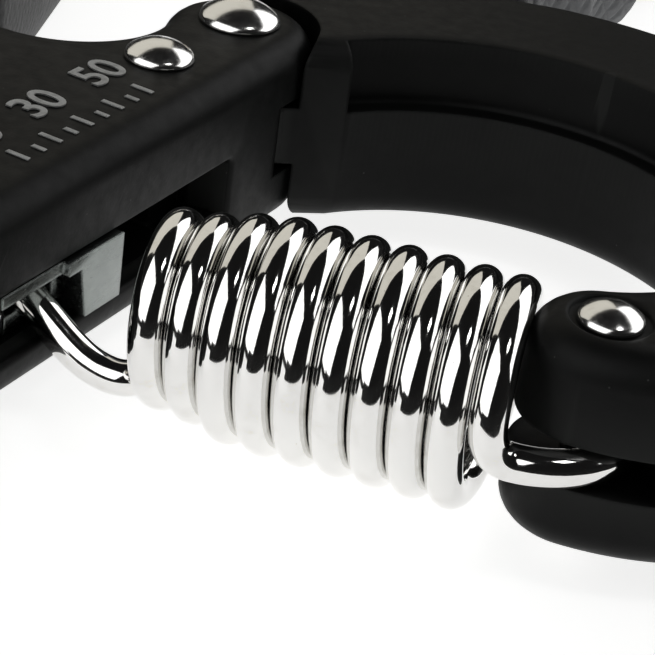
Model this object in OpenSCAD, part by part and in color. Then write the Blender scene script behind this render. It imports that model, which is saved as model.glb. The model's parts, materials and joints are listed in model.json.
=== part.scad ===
// Adjustable hand grip strengthener: two levers on a pivot rivet, a close-wound
// extension spring across their short ends, and a screw-driven carriage that
// moves the spring's hook along the palm lever to change the effort.
// Units: mm.  X runs along the spring, Y runs from the spring end to the
// handles, Z is up.  The part lies on its two grips.

/* [Spring] */
wire_d   = 2.76;   // wire diameter
pitch    = 2.80;   // coil to coil
coil_r   = 7.43;   // mean radius of the coils
coils    = 10;     // turns
first_x  = -11.95; // top of the first turn
loop_r   = 7.2;    // mean radius of the clevis hook
loop_z   = -0.85;  // plane of the clevis hook
hook_z   = -1.9;   // plane of the carriage hook

/* [Levers] */
half_t   = 8.4;    // half thickness of both levers
edge_r   = 2.6;    // rounding of the lever edges
arm_w    = 16.6;   // width of the straight arm
arm_ang  = 77;     // direction of the straight arm
knuckle_r = 6.4;   // cheeks round the pivot
ear_r    = 5.5;    // clevis ears
ring_in  = 21;     // inside radius of the curved arm
ring_out = 36;     // outside radius of the curved arm

/* [Handles] */
palm_dir = 99;     // direction of the palm handle
palm_len = 95;     // length of the palm grip
finger_dir = 82;   // direction of the finger handle
finger_len = 72;   // length of the finger grip
grip_t   = 11.3;   // half thickness of the grips

/* [Adjuster] */
rod_r    = 2.1;    // threaded rod
rod_v    = 10.5;   // rod depth in the arm
rod_z    = -0.9;   // rod height
knob_r   = 8.2;    // knob radius
travel   = 16;     // carriage travel

/* [View] */

/* [Hidden] */
$fn = 48;

// ---- placing: all shapes are drawn about the spring axis and then moved so
// that the origin is under the middle of the part ----
shift = [16.715, -53.64, grip_t];
module placed() translate(shift) children();

// ---- directions and main points ----
ua = [cos(arm_ang), sin(arm_ang)];          // along the arm, towards the pivot
va = [-sin(arm_ang), cos(arm_ang)];         // across the arm, away from the spring
arm0 = [-20.55, 0];                         // inner face of the arm at the spring
function on_arm(u, v) = arm0 + u * ua + v * va;
pivot = on_arm(33.6, knuckle_r);
ring_c = [5.7, 19.25];
ear_c = [19.8, 0];
loop_c = [15.7, 0.5];
hook_c = on_arm(-3.5, 3.7);
pd = [cos(palm_dir), sin(palm_dir)];
fd = [cos(finger_dir), sin(finger_dir)];
palm0 = [-51.2, 36];
finger0 = [-9.2, 61];
function right_of(d) = [d.y, -d.x];

// ---- plane curves ----
function e2(a) = [cos(a), sin(a)];
function arc2(c, r, a0, a1, n) = [for (i = [0:n]) c + r * e2(a0 + (a1 - a0) * i / n)];
function bez(a, b, c, d, n) = [for (i = [0:n]) let (t = i / n, s = 1 - t)
    s*s*s*a + 3*s*s*t*b + 3*s*t*t*c + t*t*t*d];
// rounded corner between three points, as an arc of radius r
function corner(a, b, c, r, n) = let (
    p = (a - b) / norm(a - b), q = (c - b) / norm(c - b),
    h = acos(p * q) / 2, m = (p + q) / norm(p + q),
    o = b + m * r / sin(h), t0 = b + p * r / tan(h) - o, t1 = b + q * r / tan(h) - o,
    a0 = atan2(t0.y, t0.x), da = atan2(t1.y, t1.x) - a0,
    d = da > 180 ? da - 360 : (da < -180 ? da + 360 : da))
    [for (i = [0:n]) o + r * e2(a0 + d * i / n)];

// a closed outline given anticlockwise, thinned of repeated points
function clean(p) = [for (i = [0:len(p) - 1]) if (norm(p[i] - p[(i + 1) % len(p)]) > 0.12) p[i]];
function inward(p) = let (n = len(p)) [for (i = [0:n - 1]) let (
    a = p[(i + n - 1) % n], b = p[(i + 1) % n], t1 = (p[i] - a) / norm(p[i] - a),
    t2 = (b - p[i]) / norm(b - p[i]), m = t1 + t2, k = m / norm(m), c = k * t1)
    [-k.y, k.x] / max(c, 0.6)];

// plate of the outline p from z0 to z1 with edges rounded by r
module rounded_plate(p, z0, z1, r, n = 4) {
    nv = inward(p);
    m = len(p);
    lv = concat([for (i = [0:n]) [r * (1 - sin(90 * i / n)), z0 + r * (1 - cos(90 * i / n))]],
                [for (i = [0:n]) [r * (1 - cos(90 * i / n)), z1 - r * (1 - sin(90 * i / n))]]);
    pts = [for (l = lv) for (i = [0:m - 1]) let (q = p[i] + nv[i] * l[0]) [q.x, q.y, l[1]]];
    k = len(lv);
    resize([0, 0, 0]) polyhedron(points = pts, faces = concat(
        [[for (i = [0:m - 1]) i]],
        [for (j = [0:k - 2]) for (i = [0:m - 1])
            [j * m + i, (j + 1) * m + i, (j + 1) * m + (i + 1) % m, j * m + (i + 1) % m]],
        [[for (i = [0:m - 1]) (k - 1) * m + m - 1 - i]]), convexity = 8);
}

// ---- the palm lever in plan ----
crotch_r = 8.3;
crotch_c = pivot + (knuckle_r + crotch_r) * e2(189.7);
palm_in  = palm0 + 9.6 * right_of(pd);
palm_out = palm0 - 9.9 * right_of(pd);
palm_outline = clean(concat(
    arc2(on_arm(-19 + 4.5, 4.5), 4.5, arm_ang - 180, arm_ang - 90, 7),
    [for (u = [-6:8:26]) on_arm(u, 0)],
    arc2(pivot, knuckle_r, arm_ang - 90, 189.7, 20),
    arc2(crotch_c, crotch_r, 9.7, -170, 18),
    corner(crotch_c + crotch_r * e2(-170), palm_in, palm_out, 3, 5),
    corner(palm_in, palm_out, palm_out - 10 * pd, 3, 5),
    bez(palm_out - 6 * pd, palm_out - 19 * pd, on_arm(10, arm_w), on_arm(-2.5, arm_w), 14),
    arc2(on_arm(-19 + 4.5, arm_w - 4.5), 4.5, arm_ang + 90, arm_ang + 180, 7)));

// ---- the finger lever in plan ----
join_a = -15;   // where the curved arm starts to narrow
out_t = ring_c + ring_out * e2(join_a);
in_t  = ring_c + ring_in * e2(join_a);
out_r = ((out_t - ear_c) * (out_t - ear_c) - ear_r * ear_r)
      / (2 * (out_t - ear_c) * e2(join_a) - 2 * ear_r);
in_r  = ((in_t - ear_c) * (in_t - ear_c) - ear_r * ear_r)
      / (2 * (in_t - ear_c) * e2(join_a) + 2 * ear_r);
out_c = out_t - out_r * e2(join_a);
in_c  = in_t - in_r * e2(join_a);
function ang(v) = atan2(v.y, v.x);
out_a = ang(ear_c - out_c);
in_a  = ang(ear_c - in_c);
fin_r = finger0 + 9.6 * right_of(fd);
fin_l = finger0 - 9.6 * right_of(fd);
ring_leave = 91;
in_start = 147;
finger_outline = clean(concat(
    arc2(ear_c, ear_r, in_a + 180, out_a + 360, 16),
    arc2(out_c, out_r, out_a, join_a, 10),
    arc2(ring_c, ring_out, join_a, ring_leave, 26),
    bez(ring_c + ring_out * e2(ring_leave), ring_c + ring_out * e2(ring_leave) + [-3, 0],
        fin_r - 6 * fd, fin_r - 3.2 * fd, 5),
    corner(fin_r - 10 * fd, fin_r, fin_l, 3, 5),
    corner(fin_r, fin_l, fin_l - 10 * fd, 3, 5),
    bez(fin_l - 5 * fd, fin_l - 9 * fd, pivot + [-3.4, 10], pivot + [-3.4, 4], 5),
    arc2(pivot + [0, 2.7], 3.6, 180, 262, 5),
    corner(pivot + [0, -0.9], ring_c + ring_in * e2(in_start), ring_c + ring_in * e2(in_start - 16), 3.4, 5),
    arc2(ring_c, ring_in, in_start - 12, join_a, 24),
    arc2(in_c, in_r, join_a, in_a, 8)));

// ---- small shared shapes ----
module rod_line(u) translate([on_arm(u, rod_v).x, on_arm(u, rod_v).y, rod_z])
    rotate([0, 0, arm_ang - 90]) rotate([-90, 0, 0]) children();   // children stand along +u
module arm_space() translate([arm0.x, arm0.y, 0]) rotate([0, 0, arm_ang - 90])
    children();                                                    // x = -v, y = u
module arm_box(u0, u1, v0, v1, z0, z1) arm_space()
    translate([-v1, u0, z0]) cube([v1 - v0, u1 - u0, z1 - z0]);
module at2(p, z = 0) translate([p.x, p.y, z]) children();
module dome(r, h) {                       // domed head standing on z = 0
    s = (r * r + (h - 0.35) * (h - 0.35)) / (2 * (h - 0.35));
    rotate_extrude() intersection() {
        union() {
            square([r, 0.35]);
            translate([0, h - s]) circle(s, $fn = 120);
        }
        square([r, h + 1]);
    }
}
module screw(r, h, len, sr) {             // countersunk flush: head down at z = 0, shank up
    difference() {
        union() {
            cylinder(r = r, h = h);
            translate([0, 0, h - 0.01]) cylinder(r = sr, h = len);
        }
        for (a = [0, 90]) rotate([0, 0, a]) translate([-r * 0.62, -0.35, -0.01]) cube([r * 1.24, 0.7, h * 0.6]);
    }
}

// ---- grips ----
// section of a grip at station s: half widths a (right), b (left), half height c
function grip_ring(a, b, c, n, e = 2.6) = [for (i = [0:n - 1]) let (t = 360 * i / n,
    x = pow(abs(cos(t)), 2 / e), z = pow(abs(sin(t)), 2 / e), w = cos(t) >= 0 ? a : -b)
    [w * x, (sin(t) >= 0 ? 1 : -1) * c * min(1, 1.06 * z)]];
function ease(t) = t <= 0 ? 0 : (t >= 1 ? 1 : sqrt(1 - (1 - t) * (1 - t)));
function palm_a(s) = 8.9 + 0.5 * sin(180 * s / palm_len);
function palm_b(s) = 9.3 + 2.4 * sin(180 * s / palm_len);
function palm_c(s) = grip_t;
function fin_a(s) = 10.6 - 1.9 * pow(abs(sin(180 * (s + 1.2) / 18.6)), 1.4);
function fin_b(s) = 8.6 + 0.6 * sin(180 * s / finger_len);
function fin_c(s) = grip_t;
function round_in(s, len, k) = 1 - k * (1 - ease(s / 2.2)) - k * (1 - ease((len - s) / 1.6));
module tube_body(rings) {                 // closed body from a list of rings of 3-D points
    m = len(rings[0]);
    k = len(rings);
    polyhedron(points = [for (r = rings) each r], faces = concat(
        [[for (i = [0:m - 1]) m - 1 - i]],
        [for (j = [0:k - 2]) for (i = [0:m - 1])
            [j * m + i, j * m + (i + 1) % m, (j + 1) * m + (i + 1) % m, (j + 1) * m + i]],
        [[for (i = [0:m - 1]) (k - 1) * m + i]]), convexity = 6);
}
module along(p0, d) translate([p0.x, p0.y, 0]) rotate([0, 0, atan2(d.y, d.x) - 90]) children();
// local: x right of the handle, y along it, z up
palm_st = [0, 0.3, 0.9, 2.2, 6, 12, 20, 30, 40, 47.5, 55, 65, 75, 84, 90, 93.4, 94.4, 95];
fin_st = concat([0, 0.3, 0.9, 2.2], [for (i = [1:22]) 2.2 + i * 3.1], [71.2, 72]);

function palm_rings(st, off, n) = [for (s = st) let (k = round_in(s, palm_len, 0.14))
    [for (q = grip_ring((palm_a(s) + off) * k, (palm_b(s) + off) * k, (palm_c(s) + off) * k, n)) [q.x, s, q.y]]];
function fin_rings(st, off, n) = [for (s = st) let (k = round_in(s, finger_len, 0.14))
    [for (q = grip_ring((fin_a(s) + off) * k, (fin_b(s) + off) * k, (fin_c(s) + off) * k, n)) [q.x, s, q.y]]];
function grip_arc(a, b, c, t0, t1, n, e = 2.6) = [for (i = [0:n]) let (t = t0 + (t1 - t0) * i / n,
    x = pow(abs(cos(t)), 2 / e), z = pow(abs(sin(t)), 2 / e), w = cos(t) >= 0 ? a : -b)
    [w * x, (sin(t) >= 0 ? 1 : -1) * c * min(1, 1.06 * z)]];
// a soft panel lying on a grip: thin shell between two offsets of its surface
function pad_ring(f, s, t0, t1, n, lo, hi) = concat(
    [for (q = f(s, hi, t0, t1, n)) [q.x, s, q.y]],
    [for (q = f(s, lo, t1, t0, n)) [q.x, s, q.y]]);
palm_arc = function (s, off, t0, t1, n) grip_arc(palm_a(s) + off, palm_b(s) + off, palm_c(s) + off, t0, t1, n);
fin_arc = function (s, off, t0, t1, n) grip_arc(fin_a(s) + off, fin_b(s) + off, fin_c(s) + off, t0, t1, n);

// ---- spring path ----
function smooth(t) = t <= 0 ? 0 : (t >= 1 ? 1 : t * t * (3 - 2 * t));
function turn_r(a) = coil_r - 0.45 * (1 - smooth((a - 480) / 360))
                   - 1.1 * (1 - smooth((a + 400) / 1700));
function helix(a) = [first_x + pitch * a / 360, -turn_r(a) * sin(a), turn_r(a) * cos(a)];
function unit(v) = v / norm(v);
function bez3(a, b, c, d, n) = [for (i = [1:n - 1]) let (t = i / n, s = 1 - t)
    s*s*s*a + 3*s*s*t*b + 3*s*t*t*c + t*t*t*d];
left_a = -182;
right_a = 360 * (coils - 1) + 72;
mid_a = 360 * 4 + 180;
hook_mr = 2.85;
hook_in = [hook_c.x, hook_c.y, hook_z] + hook_mr * [ua.x, ua.y, 0];
hook_mid = [-16.4, -1.85, -5.6];
hook_dir = unit([-1, 0.02, 0.33]);
loop_a = -85;
loop_s = [loop_c.x, loop_c.y, loop_z] + loop_r * [cos(loop_a), sin(loop_a), 0];
left_path = concat(
    [for (a = [277:-16.667:77.1]) [hook_c.x, hook_c.y, hook_z] + hook_mr * [cos(a), sin(a), 0]],
    [hook_in],
    bez3(hook_in, hook_in - 2.6 * [va.x, va.y, 0], hook_mid + 3.2 * hook_dir, hook_mid, 7),
    [hook_mid],
    bez3(hook_mid, hook_mid - 1.6 * hook_dir, helix(left_a) + [0, -1.9, 0.1], helix(left_a), 5),
    [for (a = [left_a:15.0168:mid_a + 0.5]) helix(a)]);
right_path = concat(
    [for (a = [mid_a + 0.4:15.0355:right_a + 0.01]) helix(a)],
    bez3(helix(right_a), helix(right_a) + 2.6 * unit(helix(right_a + 1) - helix(right_a)),
         loop_s - 1.6 * [-sin(loop_a), cos(loop_a), 0], loop_s, 6),
    [for (a = [loop_a:11:81]) [loop_c.x, loop_c.y, loop_z] + loop_r * [cos(a), sin(a), 0]]);
function tangents(p) = let (n = len(p)) [for (i = [0:n - 1])
    unit(i == 0 ? 4 * p[1] - 3 * p[0] - p[2] : (i == n - 1 ? 3 * p[i] - 4 * p[i - 1] + p[i - 2]
        : p[i + 1] - p[i - 1]))];
function frames(t) = let (n = len(t), s = abs(t[0].z) > 0.8 ? [1, 0, 0] : [0, 0, 1])
    [for (i = 0, f = unit(s - (s * t[0]) * t[0]); i < n;
          f = (i + 1 < n ? unit(f - (f * t[i + 1]) * t[i + 1]) : f), i = i + 1) f];
module wire(path, r, sides = 12) {
    t = tangents(path);
    f = frames(t);
    tube_body([for (i = [0:len(path) - 1]) let (b = cross(f[i], t[i]))
        [for (k = [0:sides - 1]) path[i] + r * (cos(360 * k / sides) * f[i] + sin(360 * k / sides) * b)]]);
}

// =============================== palm lever ===============================
module palm_frame() color([0.05, 0.05, 0.055]) placed() difference() {
    union() {
        rounded_plate(palm_outline, -half_t, half_t, edge_r);
        along(palm0, pd) translate([-4.6, -5, -4.6]) cube([9.2, palm_len - 1, 9.2]);
    }
    at2(pivot, -3.25) cylinder(r = 6.9, h = 6.5);
    at2(pivot, -20) cylinder(r = 2.22, h = 40);
    at2(on_arm(22.2, 6.9), -20) cylinder(r = 1.52, h = 40);
    arm_box(-9, 23.9, -2, 2.01, -4.85, 1.05);
    arm_box(-9, 19.8, 2, 13.4, -5.4, 3.7);
    arm_box(19.7, 23.9, 2, 5.0, -5.4, 3.7);
    rod_line(-20) cylinder(r = 3.42, h = 12);
    rod_line(19.7) cylinder(r = 1.84, h = 3.3);
    at2(on_arm(-13, 3.6), -half_t - 1) cylinder(r = 2.45, h = 2.7);
    at2(on_arm(-13, 3.6), -half_t) cylinder(r = 1.22, h = 8);
    at2([-38, 15], -half_t - 1) cylinder(r = 2.45, h = 2.7);
    at2([-38, 15], -half_t) cylinder(r = 1.22, h = 8);
}
module palm_grip() color([0.10, 0.10, 0.11]) placed() along(palm0, pd) difference() {
    tube_body(palm_rings(palm_st, 0, 28));
    translate([-4.65, -1, -4.65]) cube([9.3, palm_len - 4.9, 9.3]);
    translate([0, palm_len - 6, 0]) rotate([-90, 0, 0]) cylinder(r = 1.5, h = 8);
}
module palm_pad() color([0.22, 0.23, 0.24]) placed() along(palm0, pd)
    resize([0, 0, 0]) tube_body([for (s = [12:7:82]) pad_ring(palm_arc, s, 138, 222, 8, 0.06, s == 12 || s == 82 ? 0.3 : 0.8)]);
module palm_end_cap() color([0.30, 0.31, 0.32]) placed() along(palm0, pd) difference() {
    tube_body([for (q = [[0.05, 0.90], [1.2, 0.88], [2.0, 0.83], [2.5, 0.74], [2.8, 0.6]])
        [for (p = grip_ring(palm_a(palm_len) * q[1], palm_b(palm_len) * q[1], palm_c(palm_len) * q[1], 28))
            [p.x, palm_len + q[0], p.y]]]);
    translate([0, palm_len + 1.4, 0]) rotate([-90, 0, 0]) cylinder(r = 2.5, h = 4);
    translate([0, palm_len - 1, 0]) rotate([-90, 0, 0]) cylinder(r = 1.3, h = 4);
}
module palm_cap_screw() color([0.75, 0.75, 0.77]) placed() along(palm0, pd)
    translate([0, palm_len + 2.6, 0]) rotate([90, 0, 0]) screw(2.4, 1.15, 6, 1.25);
// raised division marks beside the slot
module scale_marks() color([0.92, 0.92, 0.9]) placed() arm_space() {
    for (i = [0:8]) translate([-5.6 - (i % 2 == 0 ? 2.2 : 0), -0.15 + 2 * i, half_t + 0.01])
        cube([i % 2 == 0 ? 4.4 : 2.2, 0.5, 0.16]);
}
module pivot_rivet() color([0.8, 0.8, 0.8]) placed() at2(pivot) union() {
    translate([0, 0, -half_t - 0.02]) cylinder(r = 2.18, h = 2 * half_t + 0.04);
    translate([0, 0, half_t + 0.02]) dome(3.5, 1.75);
    translate([0, 0, -half_t - 0.02]) mirror([0, 0, 1]) dome(3.3, 1.5);
}
module washer(p, z, r, b, h) at2(p, z) difference() {
    cylinder(r = r, h = h);
    translate([0, 0, -1]) cylinder(r = b, h = h + 2);
}
module pivot_washer_upper() color([0.7, 0.7, 0.68]) placed() washer(pivot, 2.64, 4.8, 2.25, 0.56);
module pivot_washer_lower() color([0.7, 0.7, 0.68]) placed() washer(pivot, -3.2, 4.8, 2.25, 0.56);
module frame_rivet() color([0.8, 0.8, 0.8]) placed() at2(on_arm(22.2, 6.9)) union() {
    translate([0, 0, -half_t - 0.02]) cylinder(r = 1.5, h = 2 * half_t + 0.04);
    translate([0, 0, half_t + 0.02]) dome(2.9, 1.5);
    translate([0, 0, -half_t - 0.02]) mirror([0, 0, 1]) dome(2.9, 1.3);
}
module arm_screw_front() color([0.7, 0.7, 0.72]) placed() at2(on_arm(-13, 3.6), -half_t + 0.05) screw(2.4, 1.6, 5.5, 1.2);
module arm_screw_rear() color([0.7, 0.7, 0.72]) placed() at2([-38, 15], -half_t + 0.05) screw(2.4, 1.6, 5.5, 1.2);
module rod_bushing_front() color([0.72, 0.55, 0.25]) placed() rod_line(-19.1) difference() {
    union() { cylinder(r = 3.4, h = 10.0); cylinder(r = 4.6, h = 0.09); }
    translate([0, 0, -1]) cylinder(r = rod_r + 0.05, h = 13);
}
module rod_bushing_rear() color([0.72, 0.55, 0.25]) placed() rod_line(19.85) difference() {
    cylinder(r = 1.82, h = 2.9);
    translate([0, 0, -1]) cylinder(r = 1.35, h = 6);
}
module thrust_washer() color([0.75, 0.75, 0.75]) placed() rod_line(-19.95) difference() {
    cylinder(r = 4.8, h = 0.8);
    translate([0, 0, -1]) cylinder(r = rod_r + 0.06, h = 3);
}

// =============================== finger lever =============================
screw_p = ring_c + 28.5 * e2(58);
module finger_frame() color([0.05, 0.05, 0.055]) placed() difference() {
    union() {
        difference() {
            rounded_plate(finger_outline, -half_t, half_t, edge_r);
            at2(pivot, -20) cylinder(r = 6.9, h = 40);
        }
        at2(pivot, -2.6) cylinder(r = 6.1, h = 5.2);
        at2(pivot, -2.6) rotate([0, 0, 44]) translate([0, -4.6, 0]) cube([10.5, 9.2, 5.2]);
        along(finger0, fd) translate([-4.6, -5, -4.6]) cube([9.2, finger_len - 1, 9.2]);
    }
    at2(pivot, -20) cylinder(r = 3.12, h = 40);
    at2(ear_c, -2.6) cylinder(r = 9.5, h = 3.5);
    at2(ear_c, -20) cylinder(r = 1.66, h = 40);
    at2(ear_c, half_t - 0.35) cylinder(r = 2.95, h = 4);
    at2(ear_c, -half_t - 2) cylinder(r = 2.5, h = 2.9);
    at2(ring_c, 2.3) rotate([0, 0, 16]) rotate_extrude(angle = 118, $fn = 120)
        translate([ring_in - 4, 0]) square([5.7, 12]);
    at2(screw_p, -half_t - 1) cylinder(r = 2.45, h = 2.7);
    at2(screw_p, -half_t) cylinder(r = 1.22, h = 8);
}
module finger_grip() color([0.10, 0.10, 0.11]) placed() along(finger0, fd) difference() {
    tube_body(fin_rings(fin_st, 0, 28));
    translate([-4.65, -1, -4.65]) cube([9.3, finger_len - 4.9, 9.3]);
    translate([0, finger_len - 6, 0]) rotate([-90, 0, 0]) cylinder(r = 1.5, h = 8);
}
module finger_pad() color([0.22, 0.23, 0.24]) placed() along(finger0, fd)
    resize([0, 0, 0]) tube_body([for (s = [5.3:3.1:61.2])
        pad_ring(fin_arc, s, -38.5714, 38.5714, 6, 0.06, s < 6 || s > 61 ? 0.3 : 0.8)]);
module finger_end_cap() color([0.30, 0.31, 0.32]) placed() along(finger0, fd) difference() {
    tube_body([for (q = [[0.05, 0.90], [1.2, 0.88], [2.0, 0.83], [2.5, 0.74], [2.8, 0.6]])
        [for (p = grip_ring(fin_a(finger_len) * q[1], fin_b(finger_len) * q[1], fin_c(finger_len) * q[1], 28))
            [p.x, finger_len + q[0], p.y]]]);
    translate([0, finger_len + 1.4, 0]) rotate([-90, 0, 0]) cylinder(r = 2.5, h = 4);
    translate([0, finger_len - 1, 0]) rotate([-90, 0, 0]) cylinder(r = 1.3, h = 4);
}
module finger_cap_screw() color([0.75, 0.75, 0.77]) placed() along(finger0, fd)
    translate([0, finger_len + 2.6, 0]) rotate([90, 0, 0]) screw(2.4, 1.15, 6, 1.25);
module finger_arm_screw() color([0.7, 0.7, 0.72]) placed() at2(screw_p, -half_t + 0.05) screw(2.4, 1.6, 5.5, 1.2);
module pivot_bushing() color([0.72, 0.55, 0.25]) placed() washer(pivot, -2.6, 3.1, 2.23, 5.2);
module clevis_pin() color([0.85, 0.85, 0.85]) placed() at2(ear_c) union() {
    translate([0, 0, half_t - 0.33]) dome(2.45, 1.35);
    translate([0, 0, -half_t + 0.2]) cylinder(r = 1.6, h = 2 * half_t - 0.4);
    translate([0, 0, -half_t - 0.6]) cylinder(r = 1.1, h = 1);
}
module clevis_pin_clip() color([0.6, 0.6, 0.62]) placed() washer(ear_c, -half_t + 0.22, 2.35, 1.62, 0.6);

// =============================== adjuster =================================
module adjusting_rod() color([0.75, 0.75, 0.76]) placed() union() {
    rod_line(-27.5) cylinder(r = rod_r, h = 47.2);
    rod_line(19.6) cylinder(r = 1.3, h = 2.9);
}
module adjusting_knob() color([0.06, 0.06, 0.065]) placed() rod_line(-30) difference() {
    union() {
        cylinder(r1 = knob_r - 0.9, r2 = knob_r, h = 0.91);
        translate([0, 0, 0.9]) cylinder(r = knob_r, h = 7.7);
        translate([0, 0, 8.59]) cylinder(r1 = knob_r, r2 = knob_r - 0.8, h = 0.8);
        translate([0, 0, 9.38]) cylinder(r = 4.6, h = 0.62);
    }
    for (i = [0:19]) rotate([0, 0, 18 * i]) translate([knob_r + 0.35, 0, -1]) cylinder(r = 0.85, h = 14, $fn = 16);
    translate([0, 0, 2.4]) cylinder(r = rod_r + 0.01, h = 12);
    translate([0, 0, -1]) cylinder(r = 5.6, h = 1.9);
}
module knob_cap() color([0.6, 0.6, 0.62]) placed() rod_line(-30) translate([0, 0, 0.1]) cylinder(r = 5.5, h = 0.78);
module rod_clip() color([0.3, 0.3, 0.32]) placed() rod_line(-8.9) difference() {
    cylinder(r = 2.85, h = 0.7);
    translate([0, 0, -1]) cylinder(r = rod_r + 0.01, h = 3);
    translate([-0.8, 0, -1]) cube([1.6, 6, 3]);
}
module carriage_nut() color([0.62, 0.63, 0.62]) placed() difference() {
    union() {
        arm_box(-6.6, 3.5, 2.15, 13.2, -5.25, 3.55);
        arm_space() rotate([90, 0, 90]) translate([0, 0, -4.7]) linear_extrude(5.2)
            polygon([[0.7, 0.9], [7.7, 0.9], [7.7, -4.6], [3.2, -4.6], [2.3, -0.15], [0.7, -0.15]]);
        arm_box(-6.6, 0.8, 0.15, 2.2, -0.1, 0.9);
    }
    rod_line(-8) cylinder(r = rod_r + 0.05, h = 14);
    arm_box(-7, 1.8, 0, 8.2, -3.6, -0.2);
    arm_box(-7, 2.3, 0, 2.9, -5.5, -0.15);
    at2(hook_c, -5) cylinder(r = 1.27, h = 8.0);
}
module hook_pin() color([0.8, 0.8, 0.8]) placed() at2(hook_c, -4.95) cylinder(r = 1.23, h = 7.9);
module spring_left() color([0.85, 0.85, 0.85]) placed() wire(left_path, wire_d / 2);
module spring_right() color([0.85, 0.85, 0.85]) placed() wire(right_path, wire_d / 2);

palm_frame();
palm_grip();
palm_pad();
palm_end_cap();
palm_cap_screw();
scale_marks();
pivot_rivet();
pivot_washer_upper();
pivot_washer_lower();
frame_rivet();
arm_screw_front();
arm_screw_rear();
rod_bushing_front();
rod_bushing_rear();
thrust_washer();
finger_frame();
finger_grip();
finger_pad();
finger_end_cap();
finger_cap_screw();
finger_arm_screw();
pivot_bushing();
clevis_pin();
clevis_pin_clip();
adjusting_rod();
adjusting_knob();
knob_cap();
rod_clip();
carriage_nut();
hook_pin();
spring_left();
spring_right();
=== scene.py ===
"""Adjustable hand grip strengthener: the visible model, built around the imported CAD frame.

All shapes are drawn in millimetres about the spring axis, as in the CAD, and moved into
the row frame by SHIFT. X runs along the spring, Y towards the handles, Z up.
"""
import json
import math

import bmesh
import bpy
import numpy as np
from mathutils import Matrix, Vector


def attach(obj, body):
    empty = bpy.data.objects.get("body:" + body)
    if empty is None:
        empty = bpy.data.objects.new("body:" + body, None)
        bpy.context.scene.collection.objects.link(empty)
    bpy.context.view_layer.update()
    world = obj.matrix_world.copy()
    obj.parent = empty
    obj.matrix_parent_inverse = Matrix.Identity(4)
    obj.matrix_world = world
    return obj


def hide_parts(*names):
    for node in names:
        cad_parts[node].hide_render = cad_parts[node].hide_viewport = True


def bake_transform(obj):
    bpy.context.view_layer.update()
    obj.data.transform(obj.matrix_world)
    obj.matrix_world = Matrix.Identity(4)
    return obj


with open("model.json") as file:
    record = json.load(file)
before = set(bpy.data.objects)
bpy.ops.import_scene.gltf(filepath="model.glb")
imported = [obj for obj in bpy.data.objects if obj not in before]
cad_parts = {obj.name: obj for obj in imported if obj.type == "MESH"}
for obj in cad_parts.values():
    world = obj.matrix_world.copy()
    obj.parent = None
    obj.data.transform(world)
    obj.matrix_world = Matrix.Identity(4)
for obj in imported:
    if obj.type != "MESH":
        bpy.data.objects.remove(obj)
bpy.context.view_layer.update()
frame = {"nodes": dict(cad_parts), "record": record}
scene = bpy.context.scene
scene.view_settings.view_transform = "Standard"

MM = 0.001
SHIFT = np.array([16.715, -53.64, 11.3])

# ------------------------------------------------------------------ plan geometry, as in the CAD
WIRE_D, PITCH, COIL_R, COILS, FIRST_X = 2.76, 2.80, 7.43, 10, -11.95
LOOP_R, LOOP_Z, HOOK_Z, HOOK_R = 7.2, -0.85, -1.9, 2.85
HALF_T, EDGE_R, ARM_W, KNUCKLE_R, EAR_R = 8.4, 2.6, 16.6, 6.4, 5.5
RING_IN, RING_OUT, GRIP_T = 21.0, 36.0, 11.3
ROD_R, ROD_V, ROD_Z, KNOB_R = 2.1, 10.5, -0.9, 8.2
PALM_LEN, FINGER_LEN = 95.0, 72.0


def e2(deg):
    return np.array([math.cos(math.radians(deg)), math.sin(math.radians(deg))])


UA, VA = e2(77), e2(167)
ARM0 = np.array([-20.55, 0.0])


def on_arm(u, v):
    return ARM0 + u * UA + v * VA


PIVOT, RIVET, HOOK_C = on_arm(33.6, KNUCKLE_R), on_arm(22.2, 6.9), on_arm(-3.5, 3.7)
RING_C, EAR_C, LOOP_C = np.array([5.7, 19.25]), np.array([19.8, 0.0]), np.array([15.7, 0.5])
PD, FD = e2(99), e2(82)
PALM0, FINGER0 = np.array([-51.2, 36.0]), np.array([-9.2, 61.0])


def row(p):
    return (np.asarray(p, float) + SHIFT) * MM


def arc2(c, r, a0, a1, n):
    return [np.asarray(c) + r * e2(a0 + (a1 - a0) * i / n) for i in range(n + 1)]


def bez(a, b, c, d, n):
    t = np.linspace(0, 1, n + 1)[:, None]
    a, b, c, d = (np.asarray(q, float) for q in (a, b, c, d))
    return list((1 - t) ** 3 * a + 3 * (1 - t) ** 2 * t * b + 3 * (1 - t) * t * t * c + t**3 * d)


def corner(a, b, c, r, n):
    p, q = (a - b) / np.linalg.norm(a - b), (c - b) / np.linalg.norm(c - b)
    h, m = math.acos(p @ q) / 2, (p + q) / np.linalg.norm(p + q)
    o = b + m * r / math.sin(h)
    t0, t1 = b + p * r / math.tan(h) - o, b + q * r / math.tan(h) - o
    a0 = math.degrees(math.atan2(t0[1], t0[0]))
    da = (math.degrees(math.atan2(t1[1], t1[0])) - a0 + 180) % 360 - 180
    return [o + r * e2(a0 + da * i / n) for i in range(n + 1)]


def clean(points, gap=0.04):
    p = np.array(points)
    return p[np.linalg.norm(p - np.roll(p, -1, 0), axis=1) > gap]


def right_of(d):
    return np.array([d[1], -d[0]])


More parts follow.
